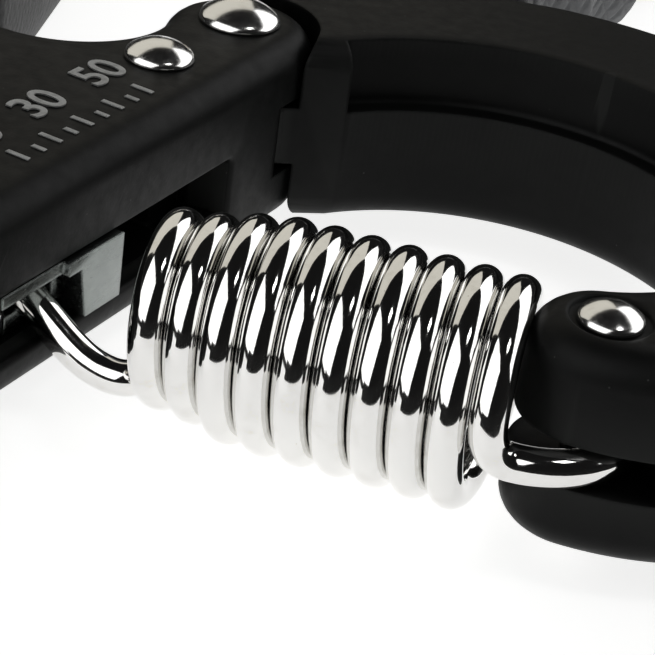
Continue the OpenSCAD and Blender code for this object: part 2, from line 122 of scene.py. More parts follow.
def palm_outline():
    cr = 8.3
    cc = PIVOT + (KNUCKLE_R + cr) * e2(189.7)
    pin, pout = PALM0 + 9.6 * right_of(PD), PALM0 - 9.9 * right_of(PD)
    return clean(
        arc2(on_arm(-14.5, 4.5), 4.5, -103, -13, 24)
        + [on_arm(u, 0) for u in range(-6, 27, 4)]
        + arc2(PIVOT, KNUCKLE_R, -13, 189.7, 80)
        + arc2(cc, cr, 9.7, -170, 72)
        + corner(cc + cr * e2(-170), pin, pout, 3, 20)
        + corner(pin, pout, pout - 10 * PD, 3, 20)
        + bez(pout - 6 * PD, pout - 19 * PD, on_arm(10, ARM_W), on_arm(-2.5, ARM_W), 44)
        + arc2(on_arm(-14.5, ARM_W - 4.5), 4.5, 167, 257, 24)
    )


def tangent_arc(start, side):
    """Centre and radius of the arc that runs from start on the ring to the ear's circle."""
    w, d = start - EAR_C, e2(-15)
    r = (w @ w - EAR_R**2) / (2 * (w @ d) - side * 2 * EAR_R)
    return start - r * d, r


def finger_outline():
    out_c, out_r = tangent_arc(RING_C + RING_OUT * e2(-15), 1)
    in_c, in_r = tangent_arc(RING_C + RING_IN * e2(-15), -1)
    out_a = math.degrees(math.atan2(*(EAR_C - out_c)[::-1]))
    in_a = math.degrees(math.atan2(*(EAR_C - in_c)[::-1]))
    fr, fl = FINGER0 + 9.6 * right_of(FD), FINGER0 - 9.6 * right_of(FD)
    top = RING_C + RING_OUT * e2(91)
    return clean(
        arc2(EAR_C, EAR_R, in_a + 180, out_a + 360, 64)
        + arc2(out_c, out_r, out_a, -15, 40)
        + arc2(RING_C, RING_OUT, -15, 91, 106)
        + bez(top, top + [-3, 0], fr - 6 * FD, fr - 3.2 * FD, 20)
        + corner(fr - 10 * FD, fr, fl, 3, 20)
        + corner(fr, fl, fl - 10 * FD, 3, 20)
        + bez(fl - 5 * FD, fl - 9 * FD, PIVOT + [-3.4, 10], PIVOT + [-3.4, 4], 20)
        + arc2(PIVOT + [0, 2.7], 3.6, 180, 262, 20)
        + corner(PIVOT + [0, -0.9], RING_C + RING_IN * e2(147), RING_C + RING_IN * e2(131), 3.4, 20)
        + arc2(RING_C, RING_IN, 135, -15, 110)
        + arc2(in_c, in_r, -15, in_a, 32)
    )


# ------------------------------------------------------------------ mesh helpers
def make(name, verts, faces, sharp=35):
    """A mesh object from points in the spring frame, in millimetres, with outward normals."""
    me = bpy.data.meshes.new(name)
    me.from_pydata([tuple(v) for v in row(verts)], [], [tuple(f) for f in faces])
    bm = bmesh.new()
    bm.from_mesh(me)
    bmesh.ops.recalc_face_normals(bm, faces=bm.faces)
    bm.to_mesh(me)
    bm.free()
    obj = bpy.data.objects.new(name, me)
    scene.collection.objects.link(obj)
    return shade(obj, sharp)


def shade(obj, sharp=35):
    me = obj.data
    me.polygons.foreach_set("use_smooth", [True] * len(me.polygons))
    me.set_sharp_from_angle(angle=math.radians(sharp))
    return obj


def loft(rings):
    """Points and faces of a closed body from rings of equal length."""
    rings = [np.asarray(r, float) for r in rings]
    k, m = len(rings), len(rings[0])
    faces = []
    for j in range(k - 1):
        a, b = j * m, (j + 1) * m
        faces += [(a + i, a + (i + 1) % m, b + (i + 1) % m, b + i) for i in range(m)]
    faces += [tuple(range(m - 1, -1, -1)), tuple(range((k - 1) * m, k * m))]
    return np.concatenate(rings), faces


def place(points, origin, x, y, z):
    """Local points moved to origin with the local axes x, y and z."""
    p = np.asarray(points, float)
    return np.asarray(origin) + p[:, :1] * x + p[:, 1:2] * y + p[:, 2:3] * z


FLAT = (np.array([1.0, 0, 0]), np.array([0, 1.0, 0]), np.array([0, 0, 1.0]))
ROD = (np.array([-VA[0], -VA[1], 0]), np.array([0, 0, -1.0]), np.array([UA[0], UA[1], 0]))


def rod_at(u):
    return np.array([*on_arm(u, ROD_V), ROD_Z])


def lathe(name, profile, origin, axes=FLAT, n=96, sharp=35):
    """A turned body: profile is (radius, height) from the bottom axis point to the top one."""
    a = np.arange(n) * 2 * math.pi / n
    rings = [np.stack([r * np.cos(a), r * np.sin(a), np.full(n, z)], 1) for r, z in profile]
    v, f = loft(rings)
    return make(name, place(v, origin, *axes), f, sharp)


def insets(outline):
    """For each point of an anticlockwise outline, how it moves for each millimetre of inset."""
    a, b = np.roll(outline, 1, 0), np.roll(outline, -1, 0)
    t1 = (outline - a) / np.linalg.norm(outline - a, axis=1)[:, None]
    t2 = (b - outline) / np.linalg.norm(b - outline, axis=1)[:, None]
    m = (t1 + t2) / np.linalg.norm(t1 + t2, axis=1)[:, None]
    return np.stack([-m[:, 1], m[:, 0]], 1) / np.maximum((m * t1).sum(1), 0.6)[:, None]


def plate(name, outline, z0, z1, r, n=8, rim=0.35, shut=0.03):
    """A plate of that outline whose edges are rounded by r."""
    while True:  # points whose edge folds or nearly shuts at the full inset are thinned out
        inset = insets(outline)
        far = outline + inset * (r + rim)
        e0, e1 = np.roll(outline, -1, 0) - outline, np.roll(far, -1, 0) - far
        folded = np.flatnonzero((e0 * e1).sum(1) < shut * (e0 * e0).sum(1))
        if not len(folded):
            break
        outline = np.delete(outline, (folded[0] + 1) % len(outline), 0)
    q = [math.pi / 2 * i / n for i in range(n + 1)]
    levels = [(r + rim, z0)] + [(r * (1 - math.sin(t)), z0 + r * (1 - math.cos(t))) for t in q]
    levels += [(r * (1 - math.cos(t)), z1 - r * (1 - math.sin(t))) for t in q] + [(r + rim, z1)]
    rings = [np.c_[outline + inset * d, np.full(len(outline), z)] for d, z in levels]
    return make(name, *loft(rings), sharp=30)


def cut(obj, cutters, sharp=30):
    """Takes the cutters' shapes out of obj and removes them."""
    for c in cutters:
        mod = obj.modifiers.new("cut", "BOOLEAN")
        mod.operation, mod.solver, mod.object = "DIFFERENCE", "EXACT", c
    graph = bpy.context.evaluated_depsgraph_get()
    me = bpy.data.meshes.new_from_object(obj.evaluated_get(graph))
    obj.modifiers.clear()
    obj.data = me
    for c in cutters:
        bpy.data.objects.remove(c)
    return shade(obj, sharp)


def hole(p, r, z0, z1, lip=0.0):
    """A round cutter from z0 to z1, widened by lip where it leaves the top."""
    foot = z1 - 0.5
    prof = [(r, z0), (r, foot - lip)]
    prof += [(r + lip * (1 - math.cos(t)), foot - lip * (1 - math.sin(t))) for t in (0.4, 0.8, 1.2, 1.5708)]
    return lathe("cutter", prof + [(r + lip, z1)] if lip else [(r, z0), (r, z1)], [*p, 0], n=72)


def bore(p, r, z, down, deep):
    """A blind round cutter entering a face at height z, downwards or upwards, with a soft mouth."""
    s, lip = (-1, 0.25) if down else (1, 0.25)
    prof = [(r + lip, z - s * 0.6), (r + lip, z), (r + 0.07, z + s * 0.1)]
    prof += [(r, z + s * lip), (r, z + s * deep)]
    return lathe("cutter", prof, [*p, 0], n=72)


def slot_box(u0, u1, v0, v1, z0, z1, r=0.6, lip=0.0):
    """A rounded box cutter in the arm: u along it, v into it, with a lip at v = 0."""
    depth = [(v0, lip), (0.0, lip)] if lip else [(v0, 0.0)]
    depth += [(lip * (1 - math.sin(t)), lip * (1 - math.cos(t))) for t in (1.1, 0.7, 0.3, 0.0)] if lip else []
    rings = []
    for v, grow in depth + [(v1, 0.0)]:
        a0, a1, b0, b1, q = u0 - grow, u1 + grow, z0 - grow, z1 + grow, r + grow
        ring = []
        corners = ((a1 - q, b1 - q, 0), (a0 + q, b1 - q, 90), (a0 + q, b0 + q, 180), (a1 - q, b0 + q, 270))
        for cu, cz, s in corners:
            ring += [(cu + q * e2(s + 15 * i)[0], cz + q * e2(s + 15 * i)[1]) for i in range(7)]
        rings.append([[*on_arm(u, v), z] for u, z in ring])
    return make("cutter", *loft(rings))


def tube(name, path, r, sides=28, soft_ends=0.35, sharp=40):
    """A round wire along path, with slightly broken edges at its cut ends."""
    p = np.asarray(path, float)
    t = np.gradient(p, axis=0)
    t /= np.linalg.norm(t, axis=1)[:, None]
    radii = np.full(len(p), r)
    if soft_ends:
        steps = ((r - soft_ends, 0.0), (r - 0.3 * soft_ends, 0.3 * soft_ends), (r, soft_ends))
        head = [p[0] + t[0] * d for _, d in steps]
        tail = [p[-1] - t[-1] * d for _, d in reversed(steps)]
        p = np.concatenate([head, p[2:-2], tail])
        t = np.concatenate([[t[0]] * 3, t[2:-2], [t[-1]] * 3])
        radii = np.concatenate([[a for a, _ in steps], radii[2:-2], [a for a, _ in reversed(steps)]])
    f = np.array([0, 0, 1.0]) if abs(t[0][2]) < 0.8 else np.array([1.0, 0, 0])
    a = np.arange(sides) * 2 * math.pi / sides
    rings = []
    for q, d, rr in zip(p, t, radii):
        f = f - (f @ d) * d
        f /= np.linalg.norm(f)
        rings.append(q + rr * (np.cos(a)[:, None] * f + np.sin(a)[:, None] * np.cross(f, d)))
    return make(name, *loft(rings), sharp=sharp)


# ------------------------------------------------------------------ materials
class Nodes:
    """Short-hand for building one material's node tree."""

    def __init__(self, name):
        self.mat = bpy.data.materials.new(name)
        self.mat.use_nodes = True
        self.tree = self.mat.node_tree
        self.bsdf = self.tree.nodes["Principled BSDF"]
        self.coord = self.tree.nodes.new("ShaderNodeTexCoord").outputs["Object"]

    def link(self, a, b):
        self.tree.links.new(a, b)

    def add(self, kind, **values):
        node = self.tree.nodes.new(kind)
        for key, value in values.items():
            if key in node.inputs:
                node.inputs[key].default_value = value
            else:
                setattr(node, key, value)
        return node

    def stretched(self, x, y, z):
        m = self.add("ShaderNodeMapping")
        m.inputs["Scale"].default_value = (x, y, z)
        self.link(self.coord, m.inputs["Vector"])
        return m.outputs["Vector"]

    def noise(self, per_mm, detail=4.0, rough=0.55, vector=None):
        n = self.add("ShaderNodeTexNoise", Scale=per_mm / MM, Detail=detail, Roughness=rough)
        self.link(vector or self.coord, n.inputs["Vector"])
        return n.outputs["Fac"]

    def cells(self, per_mm, feature="F1"):
        n = self.add("ShaderNodeTexVoronoi", Scale=per_mm / MM)
        n.feature = feature
        self.link(self.coord, n.inputs["Vector"])
        return n.outputs["Distance"]

    def span(self, fac, lo, hi, a=0.3, b=0.7):
        n = self.add("ShaderNodeMapRange")
        for key, value in (("From Min", a), ("From Max", b), ("To Min", lo), ("To Max", hi)):
            n.inputs[key].default_value = value
        self.link(fac, n.inputs["Value"])
        return n.outputs["Result"]

    def mix(self, fac, a, b):
        n = self.add("ShaderNodeMix", data_type="RGBA")
        self.link(fac, n.inputs["Factor"])
        for sock, value in ((n.inputs[6], a), (n.inputs[7], b)):
            if hasattr(value, "is_output"):
                self.link(value, sock)
            else:
                sock.default_value = (*value, 1)
        return n.outputs[2]

    def bumps(self, *layers, edge=0.0):
        """Height layers as (socket, depth in mm), with the edges softened by edge millimetres."""
        normal = None
        if edge:
            b = self.add("ShaderNodeBevel", Radius=edge * MM)
            b.samples = 3
            normal = b.outputs["Normal"]
        for height, depth in layers:
            n = self.add("ShaderNodeBump", Strength=1.0, Distance=depth * MM)
            self.link(height, n.inputs["Height"])
            if normal:
                self.link(normal, n.inputs["Normal"])
            normal = n.outputs["Normal"]
        self.link(normal, self.bsdf.inputs["Normal"])

    def wear(self, width, lo=0.0, hi=1.0):
        """Rises to hi on convex edges, from the mesh's own shape."""
        n = self.add("ShaderNodeNewGeometry")
        return self.span(n.outputs["Pointiness"], lo, hi, 0.5 + width, 0.5 + 3 * width)

    def set(self, **values):
        for key, value in values.items():
            name = key.replace("_", " ")
            if hasattr(value, "is_output"):
                self.link(value, self.bsdf.inputs[name])
            else:
                self.bsdf.inputs[name].default_value = value
        return self


def black_nylon():
    m = Nodes("black_nylon")
    grain, patch, dust = m.noise(3.2, 3.0), m.noise(0.12, 3.0), m.cells(0.5)
    base = m.mix(m.span(patch, 0, 1), (0.0030, 0.0033, 0.0032), (0.0052, 0.0056, 0.0053))
    worn = m.mix(m.wear(0.03, 0, 0.35), base, (0.045, 0.047, 0.045))
    specks = m.mix(m.span(dust, 0.5, 0, 0.0, 0.045), worn, (0.12, 0.12, 0.115))
    m.set(Base_Color=specks, Roughness=m.span(m.noise(0.9, 4.0), 0.40, 0.52))
    m.set(Specular_IOR_Level=0.09)
    m.bumps((m.noise(0.16, 2.0), 0.02), (grain, 0.010), edge=0.35)
    return m.mat


def soft_grip():
    m = Nodes("soft_grip")
    cells, fine = m.cells(1.25, "SMOOTH_F1"), m.noise(5.0, 3.0)
    base = m.mix(m.span(m.noise(0.15), 0, 1), (0.016, 0.0165, 0.017), (0.026, 0.0265, 0.027))
    m.set(Base_Color=m.mix(m.span(cells, 0, 0.5, 0.1, 0.6), base, (0.04, 0.04, 0.041)))
    m.set(Roughness=m.span(fine, 0.62, 0.80), Specular_IOR_Level=0.35, Sheen_Weight=0.12, Sheen_Roughness=0.5)
    m.bumps((cells, 0.10), (fine, 0.02))
    return m.mat


def grip_panel():
    m = Nodes("grip_panel")
    fine = m.noise(4.0, 3.0)
    base = m.mix(m.span(m.noise(0.2), 0, 1), (0.085, 0.088, 0.092), (0.115, 0.118, 0.122))
    m.set(Base_Color=m.mix(m.wear(0.015, 0, 0.6), base, (0.2, 0.205, 0.21)))
    m.set(Roughness=m.span(fine, 0.58, 0.72), Specular_IOR_Level=0.35)
    m.bumps((fine, 0.03))
    return m.mat


def cap_plastic():
    m = Nodes("cap_plastic")
    base = m.mix(m.span(m.noise(0.2), 0, 1), (0.12, 0.125, 0.13), (0.15, 0.155, 0.16))
    m.set(Base_Color=m.mix(m.wear(0.02, 0, 0.5), base, (0.26, 0.265, 0.27)))
    m.set(Roughness=m.span(m.noise(1.5), 0.34, 0.46))
    m.bumps((m.noise(3.5, 3.0), 0.012), edge=0.2)
    return m.mat


def metal(name, colour, lo, hi, dark=0.8, grain=(1.0, 1.0, 1.0), depth=0.006, edge=0.12, spots=0.0):
    """Bare or plated metal: brushed along the small number in grain, with a slightly uneven tone."""
    m = Nodes(name)
    brushed = m.noise(2.5, 5.0, 0.6, m.stretched(*grain))
    tone = m.span(m.noise(0.5, 4.0), 0, 1)
    base = m.mix(tone, tuple(c * dark for c in colour), colour)
    if spots:
        dull = m.span(m.noise(1.6, 6.0, 0.7), 0, spots, 0.58, 0.72)
        base = m.mix(dull, base, tuple(c * 0.45 for c in colour))
    m.set(Base_Color=base, Metallic=1.0, Roughness=m.span(brushed, lo, hi))
    m.bumps((brushed, depth), edge=edge)
    return m.mat


def chrome(name="chrome", lo=0.05, hi=0.09):
    """Mirror plating over drawn wire: faint draw lines, a slow waviness and a few pits."""
    m = Nodes(name)
    slow, fine, pits = m.noise(0.28, 2.0), m.noise(3.0, 4.0), m.cells(0.55)
    haze = m.span(m.noise(0.7, 5.0, 0.65), 0, 1, 0.5, 0.8)
    base = m.mix(haze, (0.74, 0.735, 0.72), (0.64, 0.63, 0.605))
    base = m.mix(m.span(pits, 0.8, 0, 0.0, 0.05), base, (0.2, 0.19, 0.17))
    m.set(Base_Color=base, Metallic=1.0, Roughness=m.span(fine, lo, hi))
    m.bumps((slow, 0.05), (fine, 0.0012))
    return m.mat


def white_print():
    m = Nodes("white_print")
    base = m.mix(m.span(m.noise(1.2, 5.0), 0, 1, 0.45, 0.7), (0.80, 0.81, 0.79), (0.55, 0.56, 0.54))
    m.set(Base_Color=base, Roughness=m.span(m.noise(4.0), 0.42, 0.6))
    m.bumps((m.noise(5.0), 0.01))
    return m.mat


MAT = {
    "nylon": black_nylon(),
    "soft_grip": soft_grip(),
    "grip_panel": grip_panel(),
    "cap_plastic": cap_plastic(),
    "steel_screw": metal("steel_screw", (0.62, 0.62, 0.63), 0.22, 0.36, grain=(1, 1, 0.2)),
    "print_white": white_print(),
    "chrome": chrome(),
    "washer_steel": metal("washer_steel", (0.58, 0.58, 0.57), 0.25, 0.4, grain=(0.2, 1, 1)),
    "bronze": metal("bronze", (0.70, 0.47, 0.20), 0.3, 0.45, spots=0.6),
    "rod_steel": metal("rod_steel", (0.60, 0.60, 0.58), 0.2, 0.34, grain=(1, 0.2, 1), spots=0.4),
    # painted shade: the carriage steel's base colour is darkened far below bare steel to stand for the shade
    # the block sits in inside the arm's slot
    "carriage_steel": metal(
        "carriage_steel", (0.24, 0.26, 0.25), 0.20, 0.30, grain=(1, 0.12, 1), depth=0.008, edge=0.3
    ),
    "clip_steel": metal("clip_steel", (0.20, 0.20, 0.21), 0.3, 0.45),
}
RIVET_PLATING = chrome("rivet_plating", 0.13, 0.20)
SLOT = {s["node"]: s["material_slot"] for s in frame["record"]["subparts"]}


def dress(obj, slot):
    obj.data.materials.clear()
    obj.data.materials.append(MAT[slot])
    return obj


def finish_piece(obj, body, slot, *nodes):
    dress(obj, slot)
    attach(obj, body)
    if nodes:
        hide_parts(*nodes)
    return obj


# every CAD node that stays takes its slot's material
for node_name, node_obj in frame["nodes"].items():
    node_obj.data.materials.clear()
    node_obj.data.materials.append(MAT[SLOT[node_name]])

# ------------------------------------------------------------------ levers
palm = plate("palm_lever_body", palm_outline(), -HALF_T, HALF_T, EDGE_R)
cut(
    palm,
    [
        hole(PIVOT, 6.9, -3.25, 3.25),
        hole(PIVOT, 2.22, -20, 20),
        hole(RIVET, 1.52, -20, 20),
        slot_box(-9, 23.9, -2, 2.2, -4.85, 1.05, lip=0.45),
        slot_box(-9, 19.8, 2, 13.4, -5.4, 3.7),
        slot_box(19.2, 23.9, 2, 5.0, -5.4, 3.7),
        lathe("cutter", [(3.42, 0), (3.42, 12)], rod_at(-20), ROD, 72),
        lathe("cutter", [(1.84, 0), (1.84, 3.3)], rod_at(19.7), ROD, 72),
        bore(on_arm(-13, 3.6), 2.45, -HALF_T, False, 1.7),
        bore((-38, 15), 2.45, -HALF_T, False, 1.7),
    ],
)
finish_piece(palm, "palm_lever", "nylon", "palm_frame")

SCREW_P = RING_C + 28.5 * e2(58)
finger = plate("finger_lever_body", finger_outline(), -HALF_T, HALF_T, EDGE_R)


def ledge_cutter():
    """The step along the inside of the curved arm, as an arc with a soft foot."""
    prof = [(16.5, 2.3), (22.2, 2.3), (22.5, 2.38), (22.66, 2.6), (22.7, 2.9), (22.7, 12), (16.5, 12)]
    rings = [[[*(RING_C + r * e2(16 + 118 * i / 96)), z] for r, z in prof] for i in range(97)]
    return make("cutter", *loft(rings))


def cheek_gap():
    """The room round the tongue at the pivot, above and below it."""
    a = np.arange(96) * 2 * math.pi / 96
    out = []
    for z0, z1 in ((2.6, 12.0), (-12.0, -2.6)):
        ring = np.stack([PIVOT[0] + 6.9 * np.cos(a), PIVOT[1] + 6.9 * np.sin(a)], 1)
        out.append(make("cutter", *loft([np.c_[ring, np.full(96, z)] for z in (z0, z1)])))
    return out


tongue_prof = ((5.9, -2.6), (6.1, -2.4), (6.1, 2.4), (5.9, 2.6))
tongue_rings = [[[*(PIVOT + r * e2(t)), z] for t in range(0, 360, 5)] for r, z in tongue_prof]
tongue = make("tongue", *loft(tongue_rings))
cut(
    finger,
    [
        *cheek_gap(),
        hole(PIVOT, 3.12, -20, 20),
        hole(EAR_C, 9.5, -2.6, 0.9),
        hole(EAR_C, 1.66, -20, 20),
        bore(EAR_C, 2.95, HALF_T, True, 0.35),
        bore(EAR_C, 2.5, -HALF_T, False, 0.9),
        ledge_cutter(),
        bore(SCREW_P, 2.45, -HALF_T, False, 1.7),
    ],
)
cut(tongue, [hole(PIVOT, 3.12, -20, 20)])
finish_piece(finger, "finger_lever", "nylon", "finger_frame")
finish_piece(tongue, "finger_lever", "nylon")


# ------------------------------------------------------------------ grips, panels and caps
def ring_xz(a, b, c, t, e=2.6):
    """Point at angle t on a grip's section: half widths a right and b left, half height c."""
    cs, sn = np.cos(np.radians(t)), np.sin(np.radians(t))
    x, z = np.abs(cs) ** (2 / e), np.abs(sn) ** (2 / e)
    return np.where(cs >= 0, a, -b) * x, np.where(sn >= 0, c, -c) * np.minimum(1, 1.06 * z)


def palm_size(s):
    return 8.9 + 0.5 * math.sin(math.pi * s / PALM_LEN), 9.3 + 2.4 * math.sin(math.pi * s / PALM_LEN), GRIP_T


def finger_size(s):
    groove = 1.9 * abs(math.sin(math.pi * (s + 1.2) / 18.6)) ** 1.4
    return 10.6 - groove, 8.6 + 0.6 * math.sin(math.pi * s / FINGER_LEN), GRIP_T


def ease(t):
    return 0.0 if t <= 0 else 1.0 if t >= 1 else math.sqrt(1 - (1 - t) ** 2)


def along(p0, d):
    """Axes of a handle: x to its right, y along it, z up."""
    return np.array([*p0, 0.0]), np.array([d[1], -d[0], 0]), np.array([d[0], d[1], 0]), np.array([0, 0, 1.0])


def grip(name, size, length, p0, d, n=120):
    t = np.arange(n) * 360 / n
    ends = [0, 0.08, 0.2, 0.4, 0.7, 1.1, 1.6, 2.2]
    st = ends + list(np.arange(3.0, length - 2.5, 0.75)) + [length - q * 0.73 for q in reversed(ends)]
    rings = []
    for s in st:
        k = 1 - 0.14 * (1 - ease(s / 2.2)) - 0.14 * (1 - ease((length - s) / 1.6))
        x, z = ring_xz(*(q * k for q in size(s)), t)
        rings.append(np.stack([x, np.full(n, s), z], 1))
    v, f = loft(rings)
    return make(name, place(v, *along(p0, d)), f, sharp=50)


def panel(name, size, s0, s1, t0, t1, p0, d, step=0.27, cell=3.4):
    """A raised rubber panel on a grip: rounded rim and a field of small pyramids between grooves."""
    ns = int((s1 - s0) / step)
    t = np.linspace(t0, t1, 92)
    rings = []
    for s in np.linspace(s0, s1, ns):
        a, b, c = size(s)
        x, z = ring_xz(a, b, c, t)
        w = np.concatenate([[0], np.cumsum(np.hypot(np.diff(x), np.diff(z)))])
        rim = np.minimum(np.minimum(w, w[-1] - w), min(s - s0, s1 - s))
        u1, u2 = ((s + w) / cell) % 1.0, ((s - w) / cell) % 1.0
        groove = np.minimum(0.5 - np.abs(u1 - 0.5), 0.5 - np.abs(u2 - 0.5))
        field = np.clip((rim - 1.5) / 0.5, 0, 1)
        h = 0.62 * np.sqrt(np.clip(1 - (1 - np.clip(rim / 0.9, 0, 1)) ** 2, 0, 1)) - 0.12
        h = h + field * (np.clip(groove / 0.28, 0, 1) ** 0.8 * 0.34 - 0.22)
        tx, tz = np.gradient(x), np.gradient(z)
        ln = np.hypot(tx, tz)
        top = np.stack([x + tz / ln * h, np.full(len(t), s), z - tx / ln * h], 1)
        low = np.stack([x - tz / ln * 0.25, np.full(len(t), s), z + tx / ln * 0.25], 1)[::-1]
        rings.append(np.concatenate([top, low]))
    v, f = loft(rings)
    return make(name, place(v, *along(p0, d)), f, sharp=60)


def end_cap(name, size, length, p0, d, n=96):
    """A domed cap with a round recess for its screw."""
    t = np.arange(n) * 360 / n
    a, b, c = size(length)
    rings = []
    dome_prof = ((0.05, 0.90), (0.5, 0.905), (1.0, 0.89), (1.5, 0.865), (2.0, 0.82), (2.4, 0.76))
    for y, k in dome_prof + ((2.65, 0.69), (2.8, 0.58), (2.8, 0.5)):
        x, z = ring_xz(a * k, b * k, c * k, t)
        rings.append(np.stack([x, np.full(n, length + y), z], 1))
    for y, r in ((2.8, 2.9), (2.76, 2.68), (2.6, 2.52), (2.4, 2.5), (1.46, 2.5), (1.45, 2.3)):
        q = np.radians(t)
        rings.append(np.stack([r * np.cos(q), np.full(n, length + y), r * np.sin(q)], 1))
    v, f = loft(rings)
    return make(name, place(v, *along(p0, d)), f, sharp=40)


PALM_AT, FINGER_AT = (PALM0, PD), (FINGER0, FD)
for piece, lever, slot, node in (
    (grip("palm_grip_shell", palm_size, PALM_LEN, *PALM_AT), "palm", "soft_grip", "palm_grip"),
    (grip("finger_grip_shell", finger_size, FINGER_LEN, *FINGER_AT), "finger", "soft_grip", "finger_grip"),
    (panel("palm_panel", palm_size, 12, 82, 138, 222, *PALM_AT), "palm", "grip_panel", "palm_pad"),
    (
        panel("finger_panel", finger_size, 5.4, 61, -38.5, 38.5, *FINGER_AT),
        "finger", "grip_panel", "finger_pad",
    ),
    (end_cap("palm_cap", palm_size, PALM_LEN, *PALM_AT), "palm", "cap_plastic", "palm_end_cap"),
    (end_cap("finger_cap", finger_size, FINGER_LEN, *FINGER_AT), "finger", "cap_plastic", "finger_end_cap"),
):
    finish_piece(piece, lever + "_lever", slot, node)


# ------------------------------------------------------------------ screws and rivets
def screw(name, origin, axes, head_r, head_h, shank_r, shank_len):
    """A flat-headed screw with a cross recess; its head's face is at z = 0 and it runs to +z."""
    n = 96
    a = np.arange(n) * 2 * math.pi / n
    near = np.abs((a + math.pi / 4) % (math.pi / 2) - math.pi / 4)
    cross = np.minimum(head_r * 0.62 / np.cos(near), 0.36 / np.maximum(np.sin(near), 1e-3))

    def ring(r, z):
        r = np.broadcast_to(r, (n,))
        return np.stack([r * np.cos(a), r * np.sin(a), np.full(n, z)], 1)

    mouth = cross * 1.08
    rings = [ring(cross * 0.55, 0.62 * head_h), ring(cross * 0.86, 0.5 * head_h), ring(cross, 0.05)]
    rings += [ring(mouth, 0), ring(np.maximum(mouth, head_r * 0.78), 0.0)]
    rings += [ring(head_r - 0.22, 0.02), ring(head_r - 0.05, 0.1)]
    rings += [ring(head_r, 0.28), ring(head_r, head_h), ring(shank_r, head_h)]
    turns, z = 6, head_h + 0.3
    for i in range(turns * 2):
        rings.append(ring(shank_r * (0.82 if i % 2 else 1.0), z + i * (shank_len - 0.6) / (2 * turns)))
    rings.append(ring(shank_r * 0.5, head_h + shank_len))
    v, f = loft(rings)
    return make(name, place(v, origin, *axes), f, sharp=30)


def cap_axes(p0, d, length):
    o, x, y, z = along(p0, d)
    return o + y * (length + 2.6), (x, z, -y)


for sname, node, p0, d, length in (
    ("palm_cap_screw_head", "palm_cap_screw", PALM0, PD, PALM_LEN),
    ("finger_cap_screw_head", "finger_cap_screw", FINGER0, FD, FINGER_LEN),
):
    o, axes = cap_axes(p0, d, length)
    body = sname.split("_")[0] + "_lever"
    finish_piece(screw(sname, o, axes, 2.4, 1.15, 1.25, 6), body, "steel_screw", node)
for sname, node, p, body in (
    ("front_screw_head", "arm_screw_front", on_arm(-13, 3.6), "palm_lever"),
    ("rear_screw_head", "arm_screw_rear", (-38, 15), "palm_lever"),
    ("arch_screw_head", "finger_arm_screw", SCREW_P, "finger_lever"),
):
    finish_piece(screw(sname, [*p, -HALF_T + 0.05], FLAT, 2.4, 1.6, 1.2, 5.5), body, "steel_screw", node)


def domed(r, h, z, s=1):
    """Profile of a domed head standing on z, upwards or downwards, from its rim to its crown."""
    big = (r * r + (h - 0.35) ** 2) / (2 * (h - 0.35))
    full = math.asin(min(1.0, r / big))
    rim = [(r - 0.12, z), (r - 0.02, z + s * 0.08), (r, z + s * 0.2)]
    steps = [full * (1 - i / 14) for i in range(1, 15)]
    return rim + [(big * math.sin(q), z + s * (h - big * (1 - math.cos(q)))) for q in steps]


def rivet(name, p, top, bottom, shank, z1, z0):
    up, down = domed(*top, z1), domed(*bottom, z0, -1)
    prof = list(reversed(down)) + [(shank, z0), (shank, z1)] + up
    prof = [(max(r, 0.02), z) for r, z in prof]
    return lathe(name, prof, [*p, 0], n=112, sharp=45)


Z1 = HALF_T + 0.02
pin_prof = [(0.05, -9.0), (0.85, -9.0), (1.05, -8.88), (1.1, -8.7), (1.1, -8.25)]
pin_prof += [(1.5, -8.2), (1.6, -8.1), (1.6, 8.07)]
pin_prof += domed(2.45, 1.35, HALF_T - 0.33)
pin_prof = [(max(r, 0.02), z) for r, z in pin_prof]
for piece, body, node in (
    (rivet("pivot_rivet_domed", PIVOT, (3.5, 1.75), (3.3, 1.5), 2.18, Z1, -Z1), "palm_lever", "pivot_rivet"),
    (rivet("frame_rivet_domed", RIVET, (2.9, 1.5), (2.9, 1.3), 1.5, Z1, -Z1), "palm_lever", "frame_rivet"),
    (lathe("clevis_pin_domed", pin_prof, [*EAR_C, 0], n=112, sharp=45), "clevis_link", "clevis_pin"),
):
    finish_piece(piece, body, "chrome", node)
    piece.data.materials[0] = RIVET_PLATING

# ------------------------------------------------------------------ adjuster
def knob():
    """The fluted hand knob: twenty scallops that run out at both chamfers."""
    n = 320
    a = np.arange(n) * 2 * math.pi / n
    near = np.abs((a + math.pi / 20) % (math.pi / 10) - math.pi / 20)

    def ring(r, z, flute=1.0):
        c = KNOB_R + 0.35
        reach = c * np.cos(near) - np.sqrt(np.maximum(0.85**2 - (c * np.sin(near)) ** 2, 0))
        scallop = np.where(c * np.sin(near) < 0.85, reach, 99)
        r2 = np.minimum(r, scallop * flute + r * (1 - flute))
        return np.stack([r2 * np.cos(a), r2 * np.sin(a), np.full(n, z)], 1)

    prof = [(5.0, 0.9), (5.5, 0.9), (5.6, 0.8), (5.6, 0.15), (5.75, 0.0)]
    prof += [(7.0, 0.0), (7.3, 0.05), (7.75, 0.3), (8.1, 0.65)]
    prof += [(KNOB_R, z) for z in (1.0, 2.0, 3.5, 5.0, 6.5, 8.0, 8.6)]
    prof += [(8.05, 8.95), (7.7, 9.25), (7.3, 9.39)]
    prof += [(4.8, 9.4), (4.6, 9.5), (4.6, 9.9), (4.5, 10.0), (2.2, 10.0)]
    v, f = loft([ring(r, z) for r, z in prof])
    return make("knob_fluted", place(v, rod_at(-30), *ROD), f, sharp=32)


